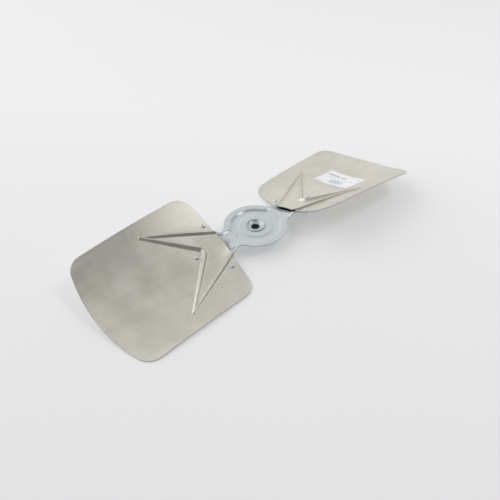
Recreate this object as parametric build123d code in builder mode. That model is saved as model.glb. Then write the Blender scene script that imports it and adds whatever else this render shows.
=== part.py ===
"""Two-blade condenser fan: stamped steel spider, swaged steel hub and two riveted aluminium blades.

Millimetres. The origin is the centre of the hub's lower face, on the shaft axis, with +Z up.
The right blade spans along +X, with its high edge on the -Y side; the left blade is half a turn on.
Heights called rise are measured from the rim face of the spider.
"""

import os
from math import cos, radians, sin, sqrt, tan

from build123d import *

os.makedirs("parts", exist_ok=True)

# Whole fan
tip_radius = 279.4
disc_level = 19.5
seat_gap = 0.1

# Blade sheet: three sections across the span, each an arc that is hollow on top
blade_gauge = 1.2
root_station = 55.0
root_rise = -3.2
root_pitch = 20.6
root_camber = 277.0
mid_station = 170.0
mid_rise = -1.2
mid_pitch = 17.1
mid_camber = 355.0
tip_station = 285.0
tip_rise = -8.3
tip_pitch = 13.2
tip_camber = 487.0

# Blade outline seen from above
root_edge = 63.0
root_half_width = 24.0
high_edge = 82.5
high_shoulder = 70.0
low_edge = 97.4
low_flare = 4.2
low_shoulder = 75.0
inner_corner = 30.0
tip_corner_high = 22.0
tip_corner_low = 24.0

# Star pressed up into the blade, with a bead along its lines
star_root_high = -16.2
star_root_low = 17.2
star_tip_high = (165.0, -61.5)
star_tip_low = (170.0, 71.8)
star_elbow = (93.0, -3.0)
star_elbow_radius = 8.0
star_rise_root = 1.0
star_rise_mid = 0.3
star_arch = 3.8
star_arch_end = 100.0
bead_rise = 4.0
bead_crown = 1.2
bead_outer_run = 5.0
bead_inner_run = 4.8
bead_tip_share = 0.45
bead_sink = 0.5

# Spider: a dished disc with two channel arms that twist to the pitch of the blades
spider_gauge = 2.3
disc_radius = 48.8
rim_width = 9.5
dish_depth = 2.7
dish_slope = 42.0
dish_blend = 8.0
boss_radius = 24.0
boss_rise = 1.0
arm_width = 42.0
arm_lip = 4.0
arm_blend = 12.0
arm_pitch = 20.0
arm_drop = 2.0
twist_start = 50.0
twist_end = 61.0
lip_fade = 3.0
pad_start = 74.0
pad_end = 125.0
pad_half_width = 50.0
pad_blend = 3.0
pilot_place = (-36.0, 0.0)
pilot_diameter = 2.0

# Rivets: two beside the root of the blade and one in the notch of its star
rivet_places = [(71.7, -35.6), (75.8, 37.4), (111.7, 0.4)]
rivet_shank = 4.8
rivet_clearance = 0.1
rivet_slack = 0.2
rivet_head = 7.6
rivet_head_height = 2.0
rivet_foot = 7.2
rivet_foot_height = 1.6
rivet_margin = 7.0

# Hub: barrel below the spider, neck through it and a lip swaged over the top
bore_diameter = 12.7
barrel_diameter = 28.6
barrel_chamfer = 0.8
neck_diameter = 24.0
neck_clearance = 0.1
lip_diameter = 29.6
lip_height = 1.5
lip_wall = 1.4
lip_round = 0.6
funnel_depth = 3.6
funnel_hollow = 0.8

# Set screw in the barrel
screw_diameter = 7.94
screw_clearance = 0.05
screw_recess = 0.3
screw_height = 7.0
screw_socket = 3.97
screw_socket_depth = 3.5
screw_socket_sides = 6
screw_tip_gap = 0.3

# Paper label on the right blade
label_width = 43.0
label_length = 82.0
label_corner = 1.5
label_gauge = 0.15
label_place = (185.0, -2.5)
label_turn = -5.0

# Worked out from the values above
blade_count = 2
arm_half = arm_width / 2
dish_run = dish_depth / tan(radians(dish_slope))
channel_half = arm_half - arm_lip
floor_half = channel_half - dish_run
floor_level = disc_level - dish_depth
boss_level = floor_level + boss_rise
boss_run = boss_rise / tan(radians(dish_slope))
sheet_half = tip_radius / 2
cut_height = tip_radius
punch_length = 4 * (blade_gauge + spider_gauge)
star_slope = (star_rise_mid - star_rise_root) / (mid_station - root_station)
star_spread_high = (star_tip_high[1] - star_root_high) / (star_tip_high[0] - root_station)
star_spread_low = (star_tip_low[1] - star_root_low) / (star_tip_low[0] - root_station)
slope_probe = 0.5
half_turn = Rot(0, 0, 180)


class Camber:
    """The arc of one blade section, told by its centre, which lies above the sheet."""

    def __init__(self, station, rise, pitch, radius):
        self.station = station
        self.radius = radius
        self.y = radius * sin(radians(pitch))
        self.z = disc_level + rise + radius * cos(radians(pitch))

    def height(self, y, drop=0.0):
        """Height at y of the arc that lies this drop below the blade's upper face."""
        return self.z - sqrt((self.radius + drop) ** 2 - (y - self.y) ** 2)


cambers = [
    Camber(root_station, root_rise, root_pitch, root_camber),
    Camber(mid_station, mid_rise, mid_pitch, mid_camber),
    Camber(tip_station, tip_rise, tip_pitch, tip_camber),
]


def blade_height(x, y, drop=0.0):
    """Height over a place in plan of the blade's upper face, or of a face this drop below it."""
    total = 0.0
    for camber in cambers:
        share = 1.0
        for other in cambers:
            if other is not camber:
                share *= (x - other.station) / (camber.station - other.station)
        total += share * camber.height(y, drop)
    return total


def blade_plane(x, y):
    """Plane that touches the blade's upper face over a place in plan."""
    ahead = blade_height(x + slope_probe, y) - blade_height(x - slope_probe, y)
    aside = blade_height(x, y + slope_probe) - blade_height(x, y - slope_probe)
    normal = Vector(-ahead, -aside, 2 * slope_probe)
    return Plane(origin=(x, y, blade_height(x, y)), x_dir=(1, 0, ahead), z_dir=normal)


def star_rise(x):
    """Height above the plain blade of the star's floor beside its beads."""
    return star_rise_root + star_slope * (x - root_station)


def section_between(x, top, under):
    """Section across the span between two arcs, each told by three of its points."""
    with BuildSketch(Plane.YZ.offset(x)) as section:
        with BuildLine():
            ThreePointArc(*top)
            Line(top[-1], under[-1])
            ThreePointArc(*under)
            Line(under[0], top[0])
        make_face()
    return section.sketch


def sheet_sections(upper, lower):
    """Sections along the span of a sheet between two drops below the blade's upper face."""
    sections = []
    for x in (root_station, mid_station, tip_station):
        span = (-sheet_half, 0.0, sheet_half)
        top = [(y, blade_height(x, y, upper)) for y in span]
        under = [(y, blade_height(x, y, lower)) for y in span]
        sections.append(section_between(x, top, under))
    return sections


def star_sections(drop):
    """Sections of the star's floor, arched between its beads near the root, this drop below its face."""
    sections = []
    for x in (root_station, low_shoulder, star_arch_end, (star_arch_end + mid_station) / 2, mid_station):
        high = star_root_high + star_spread_high * (x - root_station) - bead_outer_run
        low = star_root_low + star_spread_low * (x - root_station) + bead_outer_run
        span = (high, (high + low) / 2, low)
        arch = star_arch * max(0.0, star_arch_end - x) / (star_arch_end - root_station)
        lifts = (star_rise(x), star_rise(x) + arch, star_rise(x))
        top = [(y, blade_height(x, y, drop) + lift) for y, lift in zip(span, lifts)]
        under = [(y, blade_height(x, y, drop + bead_sink)) for y in span]
        sections.append(section_between(x, top, under))
    return sections


def bead_sections(line, shares, drop):
    """Sections of a bead along a line in plan, with the star on the left of the line."""
    sections = []
    for along, share in shares:
        place = line @ along
        heading = line % along
        section_plane = Plane(origin=place, x_dir=Vector(0, 0, 1).cross(heading), z_dir=heading)
        outer_run = bead_outer_run * share
        inner_run = bead_inner_run * share
        crown = bead_crown * share
        outer = section_plane.from_local_coords((-outer_run, 0))
        inner = section_plane.from_local_coords((inner_run, 0))
        outer_foot = blade_height(outer.X, outer.Y) - bead_sink - drop
        inner_foot = blade_height(inner.X, inner.Y) - bead_sink - drop
        crest = blade_height(place.X, place.Y) + star_rise(place.X) + bead_rise * share - drop
        with BuildSketch(section_plane) as section:
            with BuildLine():
                Polyline(
                    (-outer_run, outer_foot),
                    (-crown, crest),
                    (crown, crest),
                    (inner_run, inner_foot + star_rise(inner.X)),
                    (inner_run, inner_foot),
                    close=True,
                )
            make_face()
        sections.append(section.sketch)
    return sections


# Outline of a blade from above
low_edge_slope = tan(radians(low_flare))
tip_overrun = tip_radius + inner_corner
with BuildSketch() as blade_plan:
    with BuildLine():
        Polyline(
            (root_edge, -root_half_width),
            (high_shoulder, -high_edge),
            (tip_overrun, -high_edge),
            (tip_overrun, low_edge + low_edge_slope * (tip_overrun - mid_station)),
            (low_shoulder, low_edge + low_edge_slope * (low_shoulder - mid_station)),
            (root_edge, root_half_width),
            close=True,
        )
    make_face()
    Circle(tip_radius, mode=Mode.INTERSECT)
    fillet(blade_plan.vertices().sort_by(Axis.X)[2:4], inner_corner)
    fillet(blade_plan.vertices().sort_by(Axis.Y)[-1], tip_corner_low)
    fillet(blade_plan.vertices().sort_by_distance((tip_radius, -high_edge))[0], tip_corner_high)

# Lines of the star from above, from its high root round to its low root
star_foot_high = (root_station, star_root_high)
star_foot_low = (root_station, star_root_low)
high_line = Line(star_foot_high, star_tip_high)
notch_line = FilletPolyline(star_tip_high, star_elbow, star_tip_low, radius=star_elbow_radius)
low_line = Line(star_tip_low, star_foot_low)
with BuildSketch() as star_plan:
    with BuildLine():
        add(high_line)
        add(notch_line)
        add(low_line)
        Line(star_foot_low, star_foot_high)
    make_face()

# How the beads shrink along those lines
half_way = 0.5
half_share = (1 + bead_tip_share) / 2
elbow_start = notch_line.edges().sort_by(Axis.Y)[0].length / notch_line.length
elbow_end = 1 - notch_line.edges().sort_by(Axis.Y)[-1].length / notch_line.length
root_to_tip = [(0, 1), (half_way, half_share), (1, bead_tip_share)]
tip_to_root = [(0, bead_tip_share), (half_way, half_share), (1, 1)]
notch_shares = [
    (0, bead_tip_share),
    (elbow_start * half_way, half_share),
    (elbow_start, 1),
    ((elbow_start + elbow_end) / 2, 1),
    (elbow_end, 1),
    (elbow_end + (1 - elbow_end) * half_way, half_share),
    (1, bead_tip_share),
]
beads = [(high_line, root_to_tip), (notch_line, notch_shares), (low_line, tip_to_root)]

# Raised floor of the star, and the hollow under it
with BuildPart() as star_floor:
    loft(star_sections(0))
    extrude(star_plan.sketch, cut_height, both=True, mode=Mode.INTERSECT)

with BuildPart() as star_hollow:
    loft(star_sections(blade_gauge))
    extrude(star_plan.sketch, cut_height, both=True, mode=Mode.INTERSECT)

# Blade: cambered sheet with its star and beads pressed up
rivet_planes = [blade_plane(x, y) for x, y in rivet_places]
with BuildPart() as blade_right:
    loft(sheet_sections(0, blade_gauge))
    add(star_floor.part)
    for line, shares in beads:
        loft(bead_sections(line, shares, 0), ruled=True)
    add(star_hollow.part, mode=Mode.SUBTRACT)
    for line, shares in beads:
        loft(bead_sections(line, shares, blade_gauge), ruled=True, mode=Mode.SUBTRACT)
    extrude(blade_plan.sketch, cut_height, both=True, mode=Mode.INTERSECT)
    with Locations(*rivet_planes):
        Cylinder(rivet_shank / 2 + rivet_clearance, punch_length, mode=Mode.SUBTRACT)
blade_right.part.label = "blade_right"
export_step(blade_right.part, "parts/blade_right.step")

with BuildPart() as blade_left:
    with Locations(half_turn):
        add(blade_right.part)
blade_left.part.label = "blade_left"
export_step(blade_left.part, "parts/blade_left.step")

# Rivets: domed head on the blade, upset foot under the pad
rivet_grip = blade_gauge + seat_gap + spider_gauge + rivet_slack
with BuildPart() as rivet:
    with BuildSketch(Plane.XZ):
        with BuildLine():
            Polyline(
                (rivet_head / 2, rivet_slack),
                (rivet_shank / 2, rivet_slack),
                (rivet_shank / 2, -rivet_grip),
                (rivet_foot / 2, -rivet_grip),
                (rivet_foot / 2, -rivet_grip - rivet_foot_height / 2),
                (rivet_shank / 2, -rivet_grip - rivet_foot_height),
                (0, -rivet_grip - rivet_foot_height),
                (0, rivet_slack + rivet_head_height),
            )
            TangentArc(
                (0, rivet_slack + rivet_head_height),
                (rivet_head / 2, rivet_slack),
                tangent=(1, 0),
            )
        make_face()
    revolve(axis=Axis.Z)

with BuildPart() as rivets:
    with PolarLocations(0, blade_count):
        with Locations(*rivet_planes):
            add(rivet.part)
rivets.part.label = "rivets"
export_step(rivets.part, "parts/rivets.step")


def channel_section(x, edge, lip, floor, curved):
    """Section of an arm: heights of its edges, raised lips and floor, each a function of y."""
    places = [
        (pad_half_width, edge),
        (arm_half + lip_fade, edge),
        (arm_half, lip),
        (channel_half, lip),
        (floor_half, floor),
    ]
    top = [(-y, height(-y)) for y, height in places]
    top += [(y, height(y)) for y, height in reversed(places)]
    drop = spider_gauge / cos(radians(arm_pitch)) if curved else spider_gauge
    arc_spans = {0, len(places) - 1, 2 * len(places) - 2}
    with BuildSketch(Plane.YZ.offset(x)) as section:
        with BuildLine():
            for shift in (0, -drop):
                for span, (start, end) in enumerate(zip(top, top[1:])):
                    middle = (start[0] + end[0]) / 2
                    start = (start[0], start[1] + shift)
                    end = (end[0], end[1] + shift)
                    if curved and span in arc_spans:
                        ThreePointArc(start, (middle, edge(middle) + shift), end)
                    else:
                        Line(start, end)
            for y, height in (top[0], top[-1]):
                Line((y, height), (y, height - drop))
        make_face()
    return section.sketch


def pad_height(x):
    """Height, as a function of y, of the face that carries the blade."""
    return lambda y: blade_height(x, y, blade_gauge + seat_gap)


def twisted(rise):
    """Height, as a function of y, of a level of the arm once it has the pitch of the blade."""
    return lambda y: disc_level - arm_drop + rise - y * tan(radians(arm_pitch))


def level(rise):
    """Height, the same for every y, of a level of the disc."""
    return lambda y: disc_level + rise


# Spider outlines from above: the whole stamping, and the dish pressed into it
with BuildSketch() as rivet_field:
    with Locations(*rivet_places):
        Circle(rivet_margin)
    make_hull()

with BuildSketch() as spider_plan:
    Circle(disc_radius)
    with PolarLocations(0, blade_count):
        Rectangle(pad_start, arm_width, align=(Align.MIN, Align.CENTER))
    disc_corners = spider_plan.vertices().filter_by(lambda v: abs(v.X) < twist_start)
    fillet(disc_corners, arm_blend)
    with PolarLocations(0, blade_count):
        add(rivet_field.sketch)
    pad_corners = spider_plan.vertices().filter_by(
        lambda v: abs(abs(v.Y) - arm_half) < seat_gap and abs(v.X) > twist_end
    )
    fillet(pad_corners, pad_blend)

dish_radius = disc_radius - rim_width
with BuildSketch() as dish_plan:
    Circle(dish_radius)
    Rectangle(2 * twist_end, 2 * channel_half)
    dish_corners = dish_plan.vertices().filter_by(lambda v: abs(v.X) < twist_start)
    fillet(dish_corners, dish_blend)

with BuildSketch() as floor_plan:
    add(dish_plan.sketch)
    offset(amount=-dish_run, kind=Kind.INTERSECTION)

dish_sections = [Pos(0, 0, disc_level) * dish_plan.sketch, Pos(0, 0, floor_level) * floor_plan.sketch]
under_sections = [Pos(0, 0, -spider_gauge) * section for section in dish_sections]

hub_hole = neck_diameter / 2 + neck_clearance
with BuildPart() as spider:
    with BuildSketch(Plane.XY.offset(disc_level)):
        Rectangle(2 * twist_end, cut_height)
    extrude(amount=-spider_gauge)
    loft(under_sections, ruled=True)
    loft(dish_sections, ruled=True, mode=Mode.SUBTRACT)
    with Locations((0, 0, floor_level)):
        Cone(boss_radius + boss_run, boss_radius, boss_rise, align=(Align.CENTER, Align.CENTER, Align.MIN))
    with Locations((0, 0, floor_level - spider_gauge)):
        Cone(
            boss_radius + boss_run,
            boss_radius,
            boss_rise,
            align=(Align.CENTER, Align.CENTER, Align.MIN),
            mode=Mode.SUBTRACT,
        )
    Box(2 * twist_start, cut_height, cut_height, mode=Mode.INTERSECT)
    arm_sections = [
        channel_section(twist_start, level(-seat_gap), level(0), level(-dish_depth), False),
        channel_section(twist_end, pad_height(twist_end), twisted(0), twisted(-dish_depth), True),
    ]
    for x in (pad_start, (pad_start + pad_end) / 2, pad_end):
        arm_sections.append(channel_section(x, pad_height(x), pad_height(x), pad_height(x), True))
    arm = loft(arm_sections, ruled=True)
    add(half_turn * arm)
    extrude(spider_plan.sketch, cut_height, both=True, mode=Mode.INTERSECT)
    Cylinder(hub_hole, cut_height, mode=Mode.SUBTRACT)
    with Locations(pilot_place):
        Cylinder(pilot_diameter / 2, cut_height, mode=Mode.SUBTRACT)
    with PolarLocations(0, blade_count):
        with Locations(*rivet_planes):
            Cylinder(rivet_shank / 2 + rivet_clearance, punch_length, mode=Mode.SUBTRACT)
spider.part.label = "spider"
export_step(spider.part, "parts/spider.step")

# Hub: turned collar, swaged over the spider
shoulder_level = boss_level - spider_gauge - seat_gap
lip_level = boss_level + seat_gap
lip_top = boss_level + lip_height
with BuildPart() as hub:
    with BuildSketch(Plane.XZ):
        with BuildLine():
            Polyline(
                (bore_diameter / 2, lip_top - funnel_depth),
                (bore_diameter / 2, 0),
                (barrel_diameter / 2, 0),
                (barrel_diameter / 2, shoulder_level),
                (neck_diameter / 2, shoulder_level),
                (neck_diameter / 2, lip_level),
                (lip_diameter / 2, lip_level),
                (lip_diameter / 2, lip_top),
                (lip_diameter / 2 - lip_wall, lip_top),
            )
            SagittaArc(
                (lip_diameter / 2 - lip_wall, lip_top),
                (bore_diameter / 2, lip_top - funnel_depth),
                funnel_hollow,
            )
        make_face()
    revolve(axis=Axis.Z)
    rims = hub.edges().filter_by(GeomType.CIRCLE).group_by(Axis.Z)
    chamfer(rims[0].sort_by(SortBy.RADIUS)[-1], barrel_chamfer)
    fillet(rims[-1].sort_by(SortBy.RADIUS)[-1], lip_round)
    with Locations(Plane(origin=(0, 0, screw_height), z_dir=(0, 1, 0))):
        Cylinder(
            screw_diameter / 2 + screw_clearance,
            barrel_diameter,
            align=(Align.CENTER, Align.CENTER, Align.MIN),
            mode=Mode.SUBTRACT,
        )
hub.part.label = "hub"
export_step(hub.part, "parts/hub.step")

# Set screw: headless, driven from the outside of the barrel
screw_tip = bore_diameter / 2 + screw_tip_gap
screw_end = barrel_diameter / 2 - screw_recess
with BuildPart() as set_screw:
    with BuildSketch(Plane(origin=(0, screw_tip, screw_height), z_dir=(0, 1, 0))):
        Circle(screw_diameter / 2)
    extrude(amount=screw_end - screw_tip)
    with BuildSketch(Plane(origin=(0, screw_end, screw_height), z_dir=(0, 1, 0))):
        RegularPolygon(screw_socket / 2, screw_socket_sides, major_radius=False)
    extrude(amount=-screw_socket_depth, mode=Mode.SUBTRACT)
set_screw.part.label = "set_screw"
export_step(set_screw.part, "parts/set_screw.step")

# Label: paper stuck on the upper face of the right blade
with BuildSketch() as label_plan:
    with Locations(Pos(*label_place) * Rot(0, 0, label_turn)):
        RectangleRounded(label_width, label_length * cos(radians(mid_pitch)), label_corner)

with BuildPart() as label:
    loft(sheet_sections(-seat_gap - label_gauge, -seat_gap))
    extrude(label_plan.sketch, cut_height, both=True, mode=Mode.INTERSECT)
label.part.label = "label"
export_step(label.part, "parts/label.step")
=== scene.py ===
"""Dresses the condenser fan: aluminium blades, plated spider and hub, rivets and a paper label."""

from math import atan2, cos, hypot, pi, radians, sin, sqrt, tan

import bpy
import numpy as np
from mathutils import Matrix, Vector
from mathutils.geometry import delaunay_2d_cdt


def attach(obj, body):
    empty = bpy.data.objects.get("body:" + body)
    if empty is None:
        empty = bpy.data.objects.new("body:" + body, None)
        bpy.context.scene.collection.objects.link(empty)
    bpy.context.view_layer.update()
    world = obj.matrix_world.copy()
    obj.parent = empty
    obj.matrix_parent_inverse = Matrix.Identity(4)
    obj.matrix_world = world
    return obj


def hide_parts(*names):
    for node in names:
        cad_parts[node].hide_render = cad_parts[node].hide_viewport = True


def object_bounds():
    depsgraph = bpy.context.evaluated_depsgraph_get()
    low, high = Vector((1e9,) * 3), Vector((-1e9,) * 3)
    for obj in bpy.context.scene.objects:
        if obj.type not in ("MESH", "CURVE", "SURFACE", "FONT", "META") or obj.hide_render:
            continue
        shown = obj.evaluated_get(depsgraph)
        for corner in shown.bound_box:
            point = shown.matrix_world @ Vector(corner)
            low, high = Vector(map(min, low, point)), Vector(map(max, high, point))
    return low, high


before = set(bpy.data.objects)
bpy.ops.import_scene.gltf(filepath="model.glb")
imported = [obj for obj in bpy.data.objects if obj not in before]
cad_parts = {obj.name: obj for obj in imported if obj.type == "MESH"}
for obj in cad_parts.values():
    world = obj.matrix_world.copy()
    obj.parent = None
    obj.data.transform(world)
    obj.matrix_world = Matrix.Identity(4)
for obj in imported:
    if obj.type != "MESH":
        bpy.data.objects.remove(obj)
cad_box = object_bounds()
MM = 0.001

# Sizes in millimetres, the same as those of the solids
TIP_RADIUS = 279.4
RIM_LEVEL = 19.5
SEAT_GAP = 0.1
BLADE_GAUGE = 1.2
BLADE_SECTIONS = {
    "Root": {"Station": 55.0, "Rise": -3.2, "Pitch": 20.6, "Camber": 277.0},
    "Middle": {"Station": 170.0, "Rise": -1.2, "Pitch": 17.1, "Camber": 355.0},
    "Tip": {"Station": 285.0, "Rise": -8.3, "Pitch": 13.2, "Camber": 487.0},
}
ROOT_EDGE = 63.0
ROOT_HALF_WIDTH = 24.0
HIGH_EDGE = 82.5
HIGH_SHOULDER = 70.0
LOW_EDGE = 97.4
LOW_FLARE = 4.2
LOW_SHOULDER = 75.0
INNER_CORNER = 30.0
TIP_CORNER_HIGH = 22.0
TIP_CORNER_LOW = 24.0
STAR_ROOT_HIGH = -16.2
STAR_ROOT_LOW = 17.2
STAR_TIP_HIGH = (165.0, -61.5)
STAR_TIP_LOW = (170.0, 71.8)
STAR_ELBOW = (93.0, -3.0)
STAR_ELBOW_RADIUS = 8.0
STAR_RISE_ROOT = 1.0
STAR_RISE_MIDDLE = 0.3
STAR_ARCH = 3.8
STAR_ARCH_END = 100.0
BEAD_RISE = 4.0
BEAD_CROWN = 1.2
BEAD_OUTER_RUN = 5.0
BEAD_INNER_RUN = 4.8
BEAD_TIP_SHARE = 0.45
SPIDER_GAUGE = 2.3
DISC_RADIUS = 48.8
RIM_WIDTH = 9.5
DISH_DEPTH = 2.7
DISH_RUN = 3.0
DISH_BLEND = 8.0
BOSS_RADIUS = 24.0
BOSS_RISE = 1.0
ARM_HALF = 21.0
ARM_LIP = 4.0
ARM_BLEND = 12.0
ARM_PITCH = 20.0
ARM_DROP = 2.0
TWIST_START = 50.0
TWIST_END = 61.0
LIP_FADE = 3.0
PAD_START = 74.0
PAD_BLEND = 3.0
HUB_HOLE = 12.1
PILOT_PLACE = (-36.0, 0.0)
PILOT_RADIUS = 1.0
RIVET_PLACES = [(71.7, -35.6), (75.8, 37.4), (111.7, 0.4)]
RIVET_MARGIN = 7.0
RIVET_SIZES = {
    "Slack": 0.2,
    "Grip": 3.8,
    "Head Radius": 3.8,
    "Head Height": 2.0,
    "Shank Radius": 2.4,
    "Foot Radius": 3.6,
    "Foot Height": 1.6,
}
LABEL_PLACE = (185.0, -2.5)
LABEL_TURN = -5.0
LABEL_WIDTH = 43.0
LABEL_LENGTH = 78.4
BORE_REACH = 6.6

# Skirt that the pressing draws up beside the outer beads: in the dressed blades alone
SKIRT_RISE = 0.9
SKIRT_RUN_ROOT = 17.0
SKIRT_RUN_TIP = 6.0

# Spacing of mesh points in millimetres, and the angle at which shading breaks
OUTLINE_STEP = 2.0
BEAD_PITCH = 0.8
BLADE_PITCH = 2.0
SPIDER_PITCH = 1.2
MERGE_DISTANCE = 1e-6
SHARP_ANGLE = radians(50)

# Way that the photograph looks, turned about the shaft from the Y axis
VIEW_TURN = radians(40.93)


class Wire:
    """A node's output that can stand in a sum."""

    def __init__(self, graph, socket):
        self.graph = graph
        self.socket = socket

    def math(self, operation, *values):
        return self.graph.node("ShaderNodeMath", {"operation": operation}, dict(enumerate(values)))

    def __add__(self, other):
        return self.math("ADD", self, other)

    def __radd__(self, other):
        return self.math("ADD", other, self)

    def __sub__(self, other):
        return self.math("SUBTRACT", self, other)

    def __rsub__(self, other):
        return self.math("SUBTRACT", other, self)

    def __mul__(self, other):
        return self.math("MULTIPLY", self, other)

    def __rmul__(self, other):
        return self.math("MULTIPLY", other, self)

    def __truediv__(self, other):
        return self.math("DIVIDE", self, other)

    def __gt__(self, other):
        return self.math("GREATER_THAN", self, other)

    def __lt__(self, other):
        return self.math("LESS_THAN", self, other)

    def root(self):
        return self.math("SQRT", self)

    def fraction(self):
        return self.math("FRACT", self)


class Graph:
    """A node tree that is written as expressions."""

    def __init__(self, tree):
        self.tree = tree

    def node(self, kind, settings=None, inputs=None, output=0):
        made = self.tree.nodes.new(kind)
        for name, value in (settings or {}).items():
            if name == "stops":
                self.set_stops(made.color_ramp, value)
            else:
                setattr(made, name, value)
        for name, value in (inputs or {}).items():
            self.feed(made.inputs[name], value)
        return Wire(self, made.outputs[output]) if made.outputs else made

    def feed(self, socket, value):
        if isinstance(value, (list, set)):
            for one in value:
                self.feed(socket, one)
        elif isinstance(value, Wire):
            self.tree.links.new(value.socket, socket)
        else:
            socket.default_value = value

    def set_stops(self, ramp, stops):
        while len(ramp.elements) < len(stops):
            ramp.elements.new(1.0)
        for element, (place, colour) in zip(ramp.elements, stops):
            element.position = place
            element.color = colour


def grey(value):
    return (value, value, value, 1.0)


def material_graph(name):
    """A new material with its shader, and the graph that feeds it."""
    material = bpy.data.materials.new(name)
    material.use_nodes = True
    graph = Graph(material.node_tree)
    return material, graph, material.node_tree.nodes["Principled BSDF"]


def object_place(graph):
    return graph.node("ShaderNodeTexCoord", output="Object")


def parts_of(graph, vector, axes):
    """Wires of a vector's parts along the named axes."""
    outputs = graph.node("ShaderNodeSeparateXYZ", {}, {0: vector}).socket.node.outputs
    return [Wire(graph, outputs[axis]) for axis in axes]


def stretched_noise(graph, place, stretch, scale, detail=3.0, roughness=0.5):
    """Noise that is drawn out along the axes whose stretch is small."""
    mapped = graph.node("ShaderNodeMapping", {}, {"Vector": place, "Scale": stretch})
    return graph.node(
        "ShaderNodeTexNoise",
        {},
        {"Vector": mapped, "Scale": scale, "Detail": detail, "Roughness": roughness},
    )


def blend_colour(graph, factor, low, high):
    return graph.node("ShaderNodeMix", {"data_type": "RGBA"}, {0: factor, 6: low, 7: high}, output=2)


def rolled_aluminium():
    """Mill-finish sheet: rolled grain and bands along the span, cloudy smudges and tarnish, and cut edges
    darkened, partly as duller sheared metal and partly as painted edge shade.
    """
    material, graph, shader = material_graph("rolled_aluminium")
    place = object_place(graph)
    grain = stretched_noise(graph, place, (0.04, 1.0, 1.0), 1100.0, 4.0, 0.6)
    streaks = stretched_noise(graph, place, (0.06, 1.0, 1.0), 260.0, 3.0, 0.55)
    clouds = stretched_noise(graph, place, (0.8, 1.0, 1.0), 14.0, 3.0, 0.55)
    smudges = stretched_noise(graph, place, (1.0, 0.7, 1.0), 34.0, 3.0, 0.6)
    bands = stretched_noise(graph, place, (0.08, 1.0, 1.0), 85.0, 2.0, 0.5)
    tone = 0.30 * clouds + 0.28 * smudges + 0.14 * bands + 0.10 * streaks + 0.18 * grain
    steps = (0.38, 0.50, 0.62)
    bright = zip(steps, [(0.60, 0.59, 0.525, 1), (0.67, 0.66, 0.595, 1), (0.74, 0.735, 0.67, 1)])
    dulled = zip(steps, [(0.58, 0.54, 0.485, 1), (0.66, 0.625, 0.565, 1), (0.73, 0.70, 0.64, 1)])
    tarnish = stretched_noise(graph, place, (1.0, 1.0, 1.0), 9.0, 2.0, 0.5)
    colour = blend_colour(
        graph,
        tarnish,
        graph.node("ShaderNodeValToRGB", {"stops": list(bright)}, {0: tone}),
        graph.node("ShaderNodeValToRGB", {"stops": list(dulled)}, {0: tone}),
    )
    # Sideways-facing cut edges are darkened, partly as duller sheared metal and partly as painted edge
    # shade
    upward, = parts_of(graph, graph.node("ShaderNodeNewGeometry", output="True Normal"), "Z")
    sheared_and_shaded_edges = upward.math("ABSOLUTE", upward) < 0.35
    edge_and_shade_tone = (0.34, 0.31, 0.27, 1)
    graph.feed(shader.inputs["Base Color"], blend_colour(graph, sheared_and_shaded_edges, colour, edge_and_shade_tone))
    graph.feed(shader.inputs["Roughness"], 0.30 + 0.12 * clouds + 0.04 * streaks + 0.16 * smudges)
    bump = graph.node(
        "ShaderNodeBump",
        {},
        {"Strength": 0.10, "Distance": 0.0004, "Height": 0.6 * grain + 0.4 * streaks},
    )
    graph.feed(shader.inputs["Normal"], bump)
    shader.inputs["Metallic"].default_value = 1.0
    return material


def zinc_plate(name, dark, light, rough, metallic, shade_reach):
    """Zinc plating with fine mottling, and near-black painted shade on its upper side further out than
    the shade reach, where the blades lie over the spider's arms.
    """
    material, graph, shader = material_graph(name)
    place = object_place(graph)
    mottle = stretched_noise(graph, place, (1.0, 1.0, 1.0), 60.0, 3.0, 0.6)
    speck = stretched_noise(graph, place, (1.0, 1.0, 1.0), 700.0, 2.0, 0.5)
    colour = graph.node(
        "ShaderNodeValToRGB",
        {"stops": [(0.35, dark), (0.65, light)]},
        {0: 0.7 * mottle + 0.3 * speck},
    )
    span, = parts_of(graph, place, "X")
    upward, = parts_of(graph, graph.node("ShaderNodeNewGeometry", output="Normal"), "Z")
    # Painted shade: upward faces further out along x than the reach are coloured near-black, standing in
    # for the shade under the blade roots
    under_blade_shade_mask = (span.math("ABSOLUTE", span) > shade_reach) * (upward > 0.2)
    painted_shade_colour = (0.035, 0.035, 0.04, 1)
    graph.feed(shader.inputs["Base Color"], blend_colour(graph, under_blade_shade_mask, colour, painted_shade_colour))
    graph.feed(shader.inputs["Roughness"], rough + 0.10 * mottle + 0.03 * speck)
    bump = graph.node("ShaderNodeBump", {}, {"Strength": 0.03, "Distance": 0.0003, "Height": speck})
    graph.feed(shader.inputs["Normal"], bump)
    shader.inputs["Metallic"].default_value = metallic
    return material


def turned_steel():
    """Turned collar: rings round the bore, darker deep in it."""
    material, graph, shader = material_graph("turned_steel")
    place = object_place(graph)
    side, deep, up = parts_of(graph, place, "XYZ")
    radius = (side * side + deep * deep).root()
    profile = graph.node("ShaderNodeCombineXYZ", {}, {0: radius, 1: up})
    turning = graph.node(
        "ShaderNodeTexNoise",
        {"noise_dimensions": "2D"},
        {"Vector": profile, "Scale": 1500.0, "Detail": 2.0},
    )
    mottle = stretched_noise(graph, place, (1.0, 1.0, 1.0), 120.0)
    colour = graph.node(
        "ShaderNodeValToRGB",
        {"stops": [(0.3, (0.46, 0.51, 0.52, 1)), (0.7, (0.60, 0.66, 0.67, 1))]},
        {0: 0.5 * turning + 0.5 * mottle},
    )
    in_bore = (radius < BORE_REACH * MM) * (up < RIM_LEVEL * MM)
    shade = (0.085, 0.165, 0.18, 1)
    graph.feed(shader.inputs["Base Color"], blend_colour(graph, in_bore, colour, shade))
    graph.feed(shader.inputs["Roughness"], 0.26 + 0.14 * turning)
    bump = graph.node("ShaderNodeBump", {}, {"Strength": 0.08, "Distance": 0.0002, "Height": turning})
    graph.feed(shader.inputs["Normal"], bump)
    shader.inputs["Metallic"].default_value = 0.45
    return material


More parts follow.
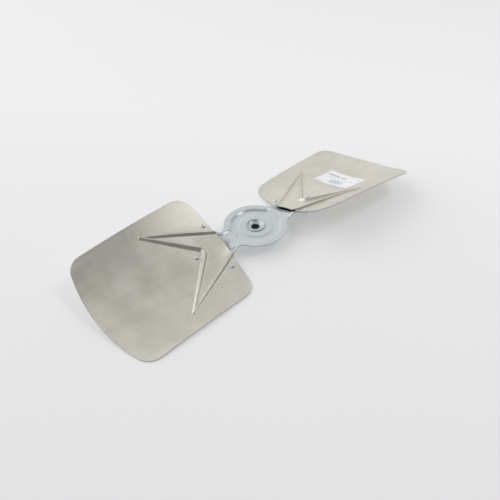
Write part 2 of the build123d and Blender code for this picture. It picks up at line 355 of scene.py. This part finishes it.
def black_steel():
    """Black-oxide screw steel."""
    material, graph, shader = material_graph("black_steel")
    mottle = stretched_noise(graph, object_place(graph), (1.0, 1.0, 1.0), 400.0)
    colour = blend_colour(graph, mottle, (0.025, 0.026, 0.028, 1), (0.07, 0.07, 0.075, 1))
    graph.feed(shader.inputs["Base Color"], colour)
    graph.feed(shader.inputs["Roughness"], 0.35 + 0.2 * mottle)
    shader.inputs["Metallic"].default_value = 0.9
    return material


def printed_paper():
    """White sticker with plain bars and a ruled block, and no words."""
    material, graph, shader = material_graph("printed_paper")
    place = object_place(graph)
    centred = graph.node(
        "ShaderNodeMapping",
        {"vector_type": "TEXTURE"},
        {
            "Vector": place,
            "Location": (LABEL_PLACE[0] * MM, LABEL_PLACE[1] * MM, 0.0),
            "Rotation": (0.0, 0.0, radians(LABEL_TURN)),
        },
    )
    across, along = parts_of(graph, centred, "XY")
    row = across / (LABEL_WIDTH * MM) + 0.5
    column = 0.5 - along / (LABEL_LENGTH * MM)

    def field(left, right, low, high):
        return (column > left) * (column < right) * (row > low) * (row < high)

    heading_gaps = (column * 17.0).fraction() < 0.74
    line_gaps = (column * 9.0).fraction() < 0.62
    rules = (column * 46.0).fraction() < 0.55
    ink = 0.55 * (field(0.07, 0.40, 0.65, 0.78) + field(0.46, 0.58, 0.65, 0.78)) * heading_gaps
    ink = ink + 0.42 * field(0.09, 0.86, 0.485, 0.53) * line_gaps
    ink = ink + 0.60 * field(0.33, 0.70, 0.14, 0.39) * rules
    ink = ink + 0.45 * field(0.86, 0.91, 0.76, 0.84)
    ink = ink + 0.40 * field(0.06, 0.16, 0.07, 0.11)
    ink = ink + 0.35 * field(0.52, 0.66, 0.05, 0.08)
    fibre = stretched_noise(graph, place, (1.0, 1.0, 1.0), 900.0)
    tone = blend_colour(graph, fibre, (0.88, 0.895, 0.92, 1), (0.93, 0.945, 0.97, 1))
    colour = blend_colour(graph, ink, tone, (0.13, 0.13, 0.15, 1))
    graph.feed(shader.inputs["Base Color"], colour)
    graph.feed(shader.inputs["Roughness"], 0.5 + 0.15 * fibre)
    bump = graph.node("ShaderNodeBump", {}, {"Strength": 0.05, "Distance": 0.0002, "Height": fibre})
    graph.feed(shader.inputs["Normal"], bump)
    return material


ALUMINIUM = rolled_aluminium()
ZINC = zinc_plate(
    "zinc_plate", (0.585, 0.645, 0.66, 1), (0.625, 0.685, 0.70, 1), 0.17, 0.24, ROOT_EDGE * MM
)
RIVET_ZINC = zinc_plate(
    "rivet_zinc", (0.62, 0.65, 0.70, 1), (0.74, 0.77, 0.82, 1), 0.22, 0.8, TIP_RADIUS * MM
)
STEEL = turned_steel()
BLACK = black_steel()
PAPER = printed_paper()


def section_height(section, y, drop):
    """Height of one blade section, this drop below its upper face."""
    pitch = radians(section["Pitch"])
    across = section["Camber"] * sin(pitch) - y
    centre = RIM_LEVEL + section["Rise"] + section["Camber"] * cos(pitch)
    return centre - np.sqrt((section["Camber"] + drop) ** 2 - across ** 2)


def blade_height(x, y, drop=0.0):
    """Height of the plain blade over places in plan, this drop below its upper face."""
    total = 0.0
    for name, section in BLADE_SECTIONS.items():
        share = 1.0
        for other, station in BLADE_SECTIONS.items():
            if other != name:
                share *= (x - station["Station"]) / (section["Station"] - station["Station"])
        total += share * section_height(section, y, drop)
    return total


def rounded(corner, before, after, radius, step=OUTLINE_STEP):
    """Points of the arc that rounds a corner between two straight runs."""
    corner = Vector(corner)
    back = (Vector(before) - corner).normalized()
    ahead = (Vector(after) - corner).normalized()
    half = back.angle(ahead) / 2
    centre = corner + (back + ahead).normalized() * radius / sin(half)
    start = corner + back * radius / tan(half)
    turn = pi - 2 * half
    if back.cross(ahead) > 0:
        turn = -turn
    count = max(2, round(abs(turn) * radius / step))
    spoke = start - centre
    return [tuple(centre + Matrix.Rotation(turn * i / count, 2) @ spoke) for i in range(count + 1)]


def rounded_tip(point, heading, radius):
    """Points of the arc between a straight edge, walked outwards, and the tip circle."""
    point = Vector(point)
    heading = Vector(heading).normalized()
    inward = Vector((-heading.y, heading.x))
    if inward.dot(point) > 0:
        inward = -inward
    base = point + inward * radius
    along = base.dot(heading)
    reach = -along + sqrt(along ** 2 - base.length_squared + (TIP_RADIUS - radius) ** 2)
    centre = base + heading * reach
    spoke = -inward * radius
    turn = spoke.angle_signed(centre)
    count = max(4, round(abs(turn) * radius / OUTLINE_STEP))
    return [tuple(centre + Matrix.Rotation(-turn * i / count, 2) @ spoke) for i in range(count + 1)]


def blade_outline():
    """Outline of a blade from above, from the root's high end round by the tip to its low end."""
    slope = tan(radians(LOW_FLARE))
    middle = BLADE_SECTIONS["Middle"]["Station"]
    root_high = (ROOT_EDGE, -ROOT_HALF_WIDTH)
    root_low = (ROOT_EDGE, ROOT_HALF_WIDTH)
    high = (HIGH_SHOULDER, -HIGH_EDGE)
    low = (LOW_SHOULDER, LOW_EDGE + slope * (LOW_SHOULDER - middle))
    far_low = (TIP_RADIUS, LOW_EDGE + slope * (TIP_RADIUS - middle))
    points = [root_high]
    points += rounded(high, root_high, (TIP_RADIUS, -HIGH_EDGE), INNER_CORNER)
    high_tip = rounded_tip(high, (1, 0), TIP_CORNER_HIGH)
    low_tip = rounded_tip(low, (far_low[0] - low[0], far_low[1] - low[1]), TIP_CORNER_LOW)[::-1]
    points += high_tip
    start = Vector(high_tip[-1])
    sweep = -start.angle_signed(Vector(low_tip[0]))
    count = round(sweep * TIP_RADIUS / OUTLINE_STEP)
    points += [tuple(Matrix.Rotation(sweep * i / count, 2) @ start) for i in range(1, count)]
    points += low_tip
    points += rounded(low, far_low, root_low, INNER_CORNER)
    points.append(root_low)
    return divided(points, OUTLINE_STEP)


def divided(points, step):
    """The closed outline with its long straight runs divided."""
    fine = []
    for start, end in zip(points, points[1:] + points[:1]):
        count = max(1, round(hypot(end[0] - start[0], end[1] - start[1]) / step))
        for i in range(count):
            fine.append(tuple(a + (b - a) * i / count for a, b in zip(start, end)))
    return fine


def inside(outline, spots):
    """Which of the spots lie inside a closed outline."""
    result = np.zeros(len(spots), bool)
    x, y = spots[:, 0], spots[:, 1]
    for (x0, y0), (x1, y1) in zip(outline, outline[1:] + outline[:1]):
        if y0 != y1:
            crosses = (y0 > y) != (y1 > y)
            result ^= crosses & (x < (x1 - x0) * (y - y0) / (y1 - y0) + x0)
    return result


def nearest(points, values, spots):
    """Distance of each spot to an open line, and the line's value and x at the nearest place."""
    best = np.full(len(spots), 1e9)
    value = np.zeros(len(spots))
    foot_x = np.zeros(len(spots))
    for i in range(len(points) - 1):
        start, end = np.array(points[i]), np.array(points[i + 1])
        run = end - start
        share = np.clip((spots - start) @ run / (run @ run), 0, 1)
        foot = start + share[:, None] * run
        distance = np.hypot(*(spots - foot).T)
        closer = distance < best
        best[closer] = distance[closer]
        value[closer] = (values[i] + (values[i + 1] - values[i]) * share)[closer]
        foot_x[closer] = foot[closer, 0]
    return best, value, foot_x


def eased(share):
    share = np.clip(share, 0, 1)
    return share * share * (3 - 2 * share)


def star_line():
    """Line of the star's beads from its high root round to its low root, and their share of full size."""
    root = BLADE_SECTIONS["Root"]["Station"]
    elbow = rounded(STAR_ELBOW, STAR_TIP_HIGH, STAR_TIP_LOW, STAR_ELBOW_RADIUS, 1.0)
    line = [(root, STAR_ROOT_HIGH), STAR_TIP_HIGH, *elbow, STAR_TIP_LOW, (root, STAR_ROOT_LOW)]
    return line, [1.0, BEAD_TIP_SHARE, *[1.0] * len(elbow), BEAD_TIP_SHARE, 1.0]


def star_press(spots):
    """How far the star and its beads lift each spot of the sheet."""
    root = BLADE_SECTIONS["Root"]["Station"]
    middle = BLADE_SECTIONS["Middle"]["Station"]
    line, shares = star_line()
    distance, share, foot_x = nearest(line, shares, spots)
    within = inside(line, spots)
    flank = distance / share - BEAD_CROWN / 2

    def floor(x):
        return STAR_RISE_ROOT + (STAR_RISE_MIDDLE - STAR_RISE_ROOT) * (x - root) / (middle - root)

    x, y = spots.T

    def edge(root_y, tip):
        return root_y + (tip[1] - root_y) * (x - root) / (tip[0] - root)

    high_edge = edge(STAR_ROOT_HIGH, STAR_TIP_HIGH)
    low_edge = edge(STAR_ROOT_LOW, STAR_TIP_LOW)
    crest = floor(foot_x) + BEAD_RISE * share
    outer = crest * (1 - eased(flank / (BEAD_OUTER_RUN - BEAD_CROWN / 2)))
    to_tip = np.clip((foot_x - root) / (STAR_TIP_HIGH[0] - root), 0, 1)
    skirt_run = SKIRT_RUN_ROOT + (SKIRT_RUN_TIP - SKIRT_RUN_ROOT) * to_tip
    beside = (y < high_edge) | (y > low_edge)
    outer = np.maximum(outer, SKIRT_RISE * (1 - to_tip) * beside * (1 - eased(distance / skirt_run)))
    ridge = BEAD_RISE * share * (1 - eased(flank / (BEAD_INNER_RUN - BEAD_CROWN / 2)))
    across = (2 * y - high_edge - low_edge) / (low_edge - high_edge)
    arch = STAR_ARCH * np.clip((STAR_ARCH_END - x) / (STAR_ARCH_END - root), 0, 1) * (1 - across ** 2)
    return np.where(within, floor(x) + ridge + arch, outer)


def plan_grid(outline, pitch):
    """Places in plan on a square grid over an outline."""
    reach = np.array(outline)
    xs = np.arange(reach[:, 0].min(), reach[:, 0].max(), pitch)
    ys = np.arange(reach[:, 1].min(), reach[:, 1].max(), pitch)
    return np.array(np.meshgrid(xs, ys)).reshape(2, -1).T


def blade_spots(outline):
    """Places of a blade's inner points: close along the beads, wider elsewhere."""
    line, shares = star_line()
    fine, coarse = plan_grid(outline, BEAD_PITCH), plan_grid(outline, BLADE_PITCH)
    fine = fine[nearest(line, shares, fine)[0] < BEAD_OUTER_RUN + 1.5 * BEAD_PITCH]
    return np.vstack([fine, coarse[nearest(line, shares, coarse)[0] > BEAD_OUTER_RUN + BLADE_PITCH]])


def flat_sheet(name, outline, holes, spots, lift_of, pitch):
    """A flat blank with round holes, with the lift of its pressing kept on each point."""
    rim_distance = nearest(outline + outline[:1], [0.0] * (len(outline) + 1), spots)[0]
    kept = inside(outline, spots) & (rim_distance > 0.7 * pitch)
    blank = list(outline)
    edges = []
    for (x, y), radius in holes:
        kept &= np.hypot(spots[:, 0] - x, spots[:, 1] - y) > radius + 0.5 * pitch
        count = max(12, round(2 * pi * radius / pitch))
        first = len(blank)
        for i in range(count):
            turn = 2 * pi * i / count
            blank.append((x + radius * cos(turn), y + radius * sin(turn)))
            edges.append((first + i, first + (i + 1) % count))
    blank += [tuple(spot) for spot in spots[kept]]
    whole = [list(range(len(outline)))]
    places, _, faces, *_ = delaunay_2d_cdt([Vector(p) for p in blank], edges, whole, 1, MERGE_DISTANCE)
    plan = np.array([tuple(p) for p in places])
    middles = plan[np.array(faces)].mean(axis=1)
    solid = np.ones(len(faces), bool)
    for centre, radius in holes:
        solid &= np.hypot(*(middles - np.array(centre)).T) > radius
    mesh = bpy.data.meshes.new(name)
    mesh.from_pydata([(x * MM, y * MM, 0.0) for x, y in plan], [], [f for f, s in zip(faces, solid) if s])
    if mesh.polygons[0].normal.z < 0:
        mesh.flip_normals()
    lift = mesh.attributes.new("lift", "FLOAT", "POINT")
    lift.data.foreach_set("value", lift_of(plan) * MM)
    blank_object = bpy.data.objects.new(name, mesh)
    bpy.context.scene.collection.objects.link(blank_object)
    return blank_object


def arc(centre, radius, start, end):
    """Points along an arc, from one angle to another."""
    count = max(2, round(abs(end - start) * radius / OUTLINE_STEP))
    turns = [start + (end - start) * i / count for i in range(count + 1)]
    return [(centre[0] + radius * cos(turn), centre[1] + radius * sin(turn)) for turn in turns]


def spider_outline():
    """Outline of the spider: a disc, and on each side an arm and the pad round its rivets."""
    blend_y = ARM_HALF + ARM_BLEND
    blend_x = sqrt((DISC_RADIUS + ARM_BLEND) ** 2 - blend_y ** 2)
    meeting = atan2(blend_y, blend_x)
    high, low, outer = (Vector(place) for place in RIVET_PLACES)
    ring = [high, outer, low]
    outward = []
    for start, end in zip(ring, ring[1:] + ring[:1]):
        run = (end - start).normalized()
        outward.append(Vector((run.y, -run.x)))
    inner = outward[2]
    lower_start = high + inner * RIVET_MARGIN
    upper_start = low + inner * RIVET_MARGIN

    def edge_at(y):
        share = (y - lower_start.y) / (upper_start.y - lower_start.y)
        return (lower_start.x + share * (upper_start.x - lower_start.x), y)

    def angle(direction, after):
        turn = atan2(direction.y, direction.x)
        while turn < after:
            turn += 2 * pi
        return turn

    half = arc((0, 0), DISC_RADIUS, -pi / 2, -meeting)
    half += arc((blend_x, -blend_y), ARM_BLEND, pi - meeting, pi / 2)
    half += rounded(edge_at(-ARM_HALF), (0.0, -ARM_HALF), tuple(lower_start), PAD_BLEND, 1.0)
    before = angle(inner, 0)
    for place, normal in zip(ring, outward):
        after = angle(normal, before)
        half += arc(place, RIVET_MARGIN, before, after)
        before = after
    half += rounded(edge_at(ARM_HALF), tuple(upper_start), (0.0, ARM_HALF), PAD_BLEND, 1.0)
    half += arc((blend_x, blend_y), ARM_BLEND, -pi / 2, -pi + meeting)
    half += arc((0, 0), DISC_RADIUS, meeting, pi / 2)[:-1]
    return divided(half + [(-x, -y) for x, y in half], OUTLINE_STEP)


def spider_press(spots):
    """Height of the spider's upper face: rim, dish, boss, twisted arms and riveting pads."""
    side = np.where(spots[:, 0] < 0, -1.0, 1.0)
    x, y = (spots * side[:, None]).T
    radius = np.hypot(x, y)
    round_in = DISC_RADIUS - RIM_WIDTH - radius
    arm_in = ARM_HALF - ARM_LIP - np.abs(y)
    mix = np.clip(0.5 + 0.5 * (round_in - arm_in) / DISH_BLEND, 0, 1)
    depth_in = arm_in + (round_in - arm_in) * mix + DISH_BLEND * mix * (1 - mix)
    soft = 0.6
    dish = RIM_LEVEL - DISH_DEPTH * eased((depth_in + soft) / (DISH_RUN + 2 * soft))
    boss_run = 5.0
    dish = dish + BOSS_RISE * eased((BOSS_RADIUS + boss_run - radius) / boss_run)
    lipped = eased((arm_in + soft) / (DISH_RUN + 2 * soft))
    faded = eased((np.abs(y) - ARM_HALF) / LIP_FADE)
    pad = blade_height(x, y, BLADE_GAUGE + SEAT_GAP)
    twisted = RIM_LEVEL - ARM_DROP - y * tan(radians(ARM_PITCH)) - DISH_DEPTH * lipped
    twisted = twisted + (pad - twisted) * faded
    height = dish + (twisted - dish) * eased((x - TWIST_START) / (TWIST_END - TWIST_START))
    return height + (pad - height) * eased((x - TWIST_END) / (PAD_START - TWIST_END))


def geometry_tree(name, sizes):
    """A Geometry Nodes tree with named inputs, and the wires of those inputs."""
    tree = bpy.data.node_groups.new(name, "GeometryNodeTree")
    tree.interface.new_socket("Geometry", in_out="INPUT", socket_type="NodeSocketGeometry")
    for size, value in sizes.items():
        kind = "NodeSocketMaterial" if isinstance(value, bpy.types.Material) else "NodeSocketFloat"
        tree.interface.new_socket(size, in_out="INPUT", socket_type=kind)
    tree.interface.new_socket("Geometry", in_out="OUTPUT", socket_type="NodeSocketGeometry")
    graph = Graph(tree)
    entry = tree.nodes.new("NodeGroupInput")
    return graph, {socket.name: Wire(graph, socket) for socket in entry.outputs if socket.name}


def shaped(blank, graph, sizes):
    """The plain mesh that a tree makes of a blank. The blank is used up."""
    modifier = blank.modifiers.new("shape", "NODES")
    modifier.node_group = graph.tree
    for socket in graph.tree.interface.items_tree:
        if socket.in_out == "INPUT" and socket.name in sizes:
            modifier[socket.identifier] = sizes[socket.name]
    bpy.context.view_layer.update()
    evaluated = blank.evaluated_get(bpy.context.evaluated_depsgraph_get())
    mesh = bpy.data.meshes.new_from_object(evaluated)
    blank.modifiers.remove(modifier)
    old = blank.data
    blank.data = mesh
    bpy.data.meshes.remove(old)
    return blank


def blade_tree(sizes):
    """Presses a flat blank: bends it to the three cambers, lifts its star and gives it its gauge."""
    graph, size = geometry_tree("press_blade", sizes)
    x, y = parts_of(graph, graph.node("GeometryNodeInputPosition"), "XY")
    height = graph.node("GeometryNodeInputNamedAttribute", {"data_type": "FLOAT"}, {"Name": "lift"})
    for name in BLADE_SECTIONS:
        radius = size[f"{name} Camber"]
        pitch = size[f"{name} Pitch"]
        across = radius * pitch.math("SINE", pitch) - y
        centre = size["Rim Level"] + size[f"{name} Rise"] + radius * pitch.math("COSINE", pitch)
        camber = centre - (radius * radius - across * across).root()
        for other in BLADE_SECTIONS:
            if other != name:
                station = size[f"{other} Station"]
                camber = camber * (x - station) / (size[f"{name} Station"] - station)
        height = height + camber
    thickened(graph, size, graph.node("ShaderNodeCombineXYZ", {}, {0: x, 1: y, 2: height}))
    return graph


def spider_tree(sizes):
    """Presses the spider's flat blank to the lift of its points and gives it its gauge."""
    graph, size = geometry_tree("press_spider", sizes)
    x, y = parts_of(graph, graph.node("GeometryNodeInputPosition"), "XY")
    height = graph.node("GeometryNodeInputNamedAttribute", {"data_type": "FLOAT"}, {"Name": "lift"})
    thickened(graph, size, graph.node("ShaderNodeCombineXYZ", {}, {0: x, 1: y, 2: height}))
    return graph


def thickened(graph, size, place):
    """Moves a blank's points to their place and closes the sheet below them."""
    pressed = graph.node("GeometryNodeSetPosition", {}, {"Geometry": size["Geometry"], "Position": place})
    turned = graph.node("GeometryNodeFlipFaces", {}, {"Mesh": pressed})
    down = graph.node("ShaderNodeCombineXYZ", {}, {2: size["Gauge"] * -1.0})
    under = graph.node(
        "GeometryNodeExtrudeMesh",
        {"mode": "FACES"},
        {"Mesh": turned, "Offset": down, "Offset Scale": 1.0, "Individual": False},
    )
    sheet = graph.node("GeometryNodeJoinGeometry", {}, {"Geometry": [under, pressed]})
    whole = graph.node("GeometryNodeMergeByDistance", {}, {"Geometry": sheet, "Distance": MERGE_DISTANCE})
    smooth = graph.node("GeometryNodeSetShadeSmooth", {}, {"Geometry": whole, "Shade Smooth": True})
    finished(graph, smooth, size["Material"])


def rivet_tree(sizes):
    """Sets a domed rivet with its shank and upset foot on each point, standing along its normal."""
    graph, size = geometry_tree("set_rivets", sizes)

    def stood(mesh, z):
        up = graph.node("ShaderNodeCombineXYZ", {}, {2: z})
        return graph.node("GeometryNodeTransform", {}, {"Geometry": mesh, "Translation": up})

    ball = graph.node("GeometryNodeMeshUVSphere", {}, {"Segments": 40, "Rings": 24, "Radius": 1.0})
    x, y, z = parts_of(graph, graph.node("GeometryNodeInputPosition"), "XYZ")
    girth = size["Head Radius"]
    head_scale = graph.node("ShaderNodeCombineXYZ", {}, {0: girth, 1: girth, 2: size["Head Height"]})
    flat_place = graph.node("ShaderNodeCombineXYZ", {}, {0: x, 1: y})
    dome = graph.node(
        "GeometryNodeSetPosition", {}, {"Geometry": ball, "Selection": z < 0.0, "Position": flat_place}
    )
    dome = graph.node("GeometryNodeTransform", {}, {"Geometry": dome, "Scale": head_scale})
    dome = graph.node("GeometryNodeSetShadeSmooth", {}, {"Geometry": dome, "Shade Smooth": True})
    length = size["Grip"] + size["Slack"] + size["Foot Height"]
    shank_radius = size["Shank Radius"]
    shank = graph.node(
        "GeometryNodeMeshCylinder", {}, {"Vertices": 32, "Radius": shank_radius, "Depth": length}
    )
    foot_sizes = {
        "Vertices": 32,
        "Radius Top": size["Foot Radius"],
        "Radius Bottom": shank_radius * 1.1,
        "Depth": size["Foot Height"],
    }
    foot = graph.node("GeometryNodeMeshCone", {}, foot_sizes)
    parts = [
        stood(dome, size["Slack"]),
        stood(shank, size["Slack"] - length * 0.5),
        stood(foot, (size["Grip"] + size["Foot Height"]) * -1.0),
    ]
    whole = graph.node("GeometryNodeJoinGeometry", {}, {"Geometry": parts})
    stand = graph.node(
        "GeometryNodeInputNamedAttribute", {"data_type": "FLOAT_VECTOR"}, {"Name": "stand"}
    )
    turn = graph.node("FunctionNodeAlignRotationToVector", {"axis": "Z"}, {"Vector": stand})
    placed = graph.node(
        "GeometryNodeInstanceOnPoints",
        {},
        {"Points": size["Geometry"], "Instance": whole, "Rotation": turn},
    )
    finished(graph, placed, size["Material"])
    return graph


def rivet_points():
    """A point at each rivet of both blades, with the way that its head faces."""
    probe = 0.5
    places, normals = [], []
    for x, y in RIVET_PLACES:
        ahead = blade_height(x + probe, y) - blade_height(x - probe, y)
        aside = blade_height(x, y + probe) - blade_height(x, y - probe)
        normal = Vector((-ahead, -aside, 2 * probe)).normalized()
        for side in (1, -1):
            places.append((side * x * MM, side * y * MM, blade_height(x, y) * MM))
            normals.append((side * normal.x, side * normal.y, normal.z))
    mesh = bpy.data.meshes.new("domed_rivets")
    mesh.from_pydata(places, [], [])
    stand = mesh.attributes.new("stand", "FLOAT_VECTOR", "POINT")
    stand.data.foreach_set("vector", np.array(normals).ravel())
    points = bpy.data.objects.new("domed_rivets", mesh)
    bpy.context.scene.collection.objects.link(points)
    return points


def finished(graph, geometry, material):
    """Ends a tree with plain geometry in its material."""
    real = graph.node("GeometryNodeRealizeInstances", {}, {"Geometry": geometry})
    coated = graph.node("GeometryNodeSetMaterial", {}, {"Geometry": real, "Material": material})
    graph.node("NodeGroupOutput", {}, {"Geometry": coated})


blade_sizes = {"Rim Level": RIM_LEVEL * MM, "Gauge": BLADE_GAUGE * MM, "Material": ALUMINIUM}
for section_name, section in BLADE_SECTIONS.items():
    for measure, value in section.items():
        blade_sizes[f"{section_name} {measure}"] = radians(value) if measure == "Pitch" else value * MM
press_blade = blade_tree(blade_sizes)
blade_plan = blade_outline()
blade_points = blade_spots(blade_plan)

for side, turn in (("right", 0.0), ("left", pi)):
    blank = flat_sheet(f"pressed_blade_{side}", blade_plan, [], blade_points, star_press, BEAD_PITCH)
    blade = shaped(blank, press_blade, blade_sizes)
    blade.data.set_sharp_from_angle(angle=SHARP_ANGLE)
    blade.data.transform(Matrix.Rotation(turn, 4, "Z"))
    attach(blade, "root")
    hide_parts(f"blade_{side}")

spider_sizes = {"Gauge": SPIDER_GAUGE * MM, "Material": ZINC}
spider_holes = [((0.0, 0.0), HUB_HOLE), (PILOT_PLACE, PILOT_RADIUS)]
spider_plan = spider_outline()
spider_points = plan_grid(spider_plan, SPIDER_PITCH)
spider_blank = flat_sheet(
    "pressed_spider", spider_plan, spider_holes, spider_points, spider_press, SPIDER_PITCH
)
spider = shaped(spider_blank, spider_tree(spider_sizes), spider_sizes)
spider.data.set_sharp_from_angle(angle=SHARP_ANGLE)
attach(spider, "root")
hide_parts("spider")

rivet_sizes = {size: value * MM for size, value in RIVET_SIZES.items()}
rivet_sizes["Material"] = RIVET_ZINC
rivets = shaped(rivet_points(), rivet_tree(rivet_sizes), rivet_sizes)
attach(rivets, "root")
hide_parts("rivets")

for node, material in {"hub": STEEL, "set_screw": BLACK, "label": PAPER}.items():
    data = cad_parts[node].data
    data.materials.clear()
    data.materials.append(material)


def studio_floor():
    """Pale matt table top under the fan, with painted light that makes it paler towards the back and
    right.
    """
    half = 6.0
    clearance = 0.0002
    glow_share = 0.35
    level = cad_box[0].z - clearance
    mesh = bpy.data.meshes.new("table_top")
    corners = [(-half, -half, level), (half, -half, level), (half, half, level), (-half, half, level)]
    mesh.from_pydata(corners, [], [(0, 1, 2, 3)])
    floor = bpy.data.objects.new("table_top", mesh)
    bpy.context.scene.collection.objects.link(floor)
    material, graph, shader = material_graph("table_white")
    place = object_place(graph)
    side, deep = parts_of(graph, place, "XY")
    haze = stretched_noise(graph, place, (1.0, 1.0, 1.0), 3.0)
    # Painted light: the table's colour is paler towards +x and +y (the back and right), plus a faint
    # random haze
    paleness_and_painted_light = 0.60 + 0.70 * side + 0.58 * deep + 0.1 * haze
    paleness_and_painted_light = paleness_and_painted_light.math("MINIMUM", paleness_and_painted_light.math("MAXIMUM", paleness_and_painted_light, 0.0), 1.0)
    colour = blend_colour(graph, paleness_and_painted_light, (0.85, 0.855, 0.875, 1), (0.98, 0.985, 0.99, 1))
    graph.feed(shader.inputs["Base Color"], colour)
    shader.inputs["Roughness"].default_value = 0.9
    shader.inputs["Specular IOR Level"].default_value = 0.1
    seen = graph.node("ShaderNodeLightPath", output="Is Camera Ray")
    seen = seen.math("MAXIMUM", seen, graph.node("ShaderNodeLightPath", output="Is Glossy Ray"))
    tint = blend_colour(graph, paleness_and_painted_light, (0.84, 0.845, 0.87, 1), (1.0, 1.0, 1.0, 1))
    glow = graph.node("ShaderNodeEmission", {}, {"Color": tint, "Strength": 1.0})
    matt = Wire(graph, shader.outputs["BSDF"])
    lifted = graph.node("ShaderNodeMixShader", {}, {0: glow_share * seen, 1: matt, 2: glow})
    graph.feed(material.node_tree.nodes["Material Output"].inputs["Surface"], lifted)
    mesh.materials.append(material)


def studio_world():
    """Pale surroundings, brighter behind the fan than on the camera's side."""
    world = bpy.data.worlds.new("studio")
    bpy.context.scene.world = world
    world.use_nodes = True
    graph = Graph(world.node_tree)
    direction = graph.node("ShaderNodeTexCoord", output="Generated")
    side, deep = parts_of(graph, direction, "XY")
    behind = sin(VIEW_TURN) * side + cos(VIEW_TURN) * deep
    levels = [(0.0, 0.16), (0.30, 0.17), (0.45, 0.22), (0.55, 0.27), (0.65, 0.38)]
    levels += [(0.72, 0.56), (0.78, 0.76), (0.86, 0.92), (0.93, 1.0)]
    stops = [(place, grey(level)) for place, level in levels]
    glow = graph.node("ShaderNodeValToRGB", {"stops": stops}, {0: 0.5 + 0.5 * behind})
    seen = graph.node("ShaderNodeLightPath", output="Is Camera Ray")
    background = world.node_tree.nodes["Background"]
    graph.feed(background.inputs["Color"], blend_colour(graph, seen, glow, grey(0.84)))
    background.inputs["Strength"].default_value = 1.0


def lamp(name, place, size, power, colour):
    """A rectangular softbox that faces the middle of the fan."""
    data = bpy.data.lights.new(name, "AREA")
    data.shape = "RECTANGLE"
    data.size, data.size_y = size
    data.energy = power
    data.color = colour
    light = bpy.data.objects.new(name, data)
    light.location = place
    light.rotation_euler = (-Vector(place)).to_track_quat("-Z", "Y").to_euler()
    bpy.context.scene.collection.objects.link(light)


def photo_camera():
    """Camera at the photograph's place, aimed past the middle of the spider's rim."""
    distance = 0.8508
    elevation = radians(39.39)
    pan, tilt, roll = radians(0.55), radians(2.63), radians(0.10)
    level = cos(elevation)
    back = Vector((-sin(VIEW_TURN) * level, -cos(VIEW_TURN) * level, sin(elevation)))
    forward = -back
    right = forward.cross(Vector((0, 0, 1))).normalized()
    down = forward.cross(right)
    swing = Matrix.Rotation(roll, 3, "Z") @ Matrix.Rotation(tilt, 3, "X") @ Matrix.Rotation(pan, 3, "Y")
    right, down, forward = swing @ Matrix((right, down, forward))
    data = bpy.data.cameras.new("camera")
    data.sensor_width = 36.0
    data.lens = 39.92
    camera = bpy.data.objects.new("camera", data)
    turn = Matrix((right, -down, -forward)).transposed().to_4x4()
    camera.matrix_world = Matrix.Translation(back * distance + Vector((0, 0, RIM_LEVEL * MM))) @ turn
    bpy.context.scene.collection.objects.link(camera)
    bpy.context.scene.camera = camera


studio_floor()
studio_world()
lamp("window_softbox", (-2.7, 2.25, 2.5), (8.0, 5.0), 163.0, (1.0, 0.99, 0.97))
lamp("overhead_softbox", (1.10, -0.78, 2.05), (0.8, 0.8), 9.5, (1.0, 1.0, 1.0))
photo_camera()
bpy.context.scene.view_settings.view_transform = "Standard"
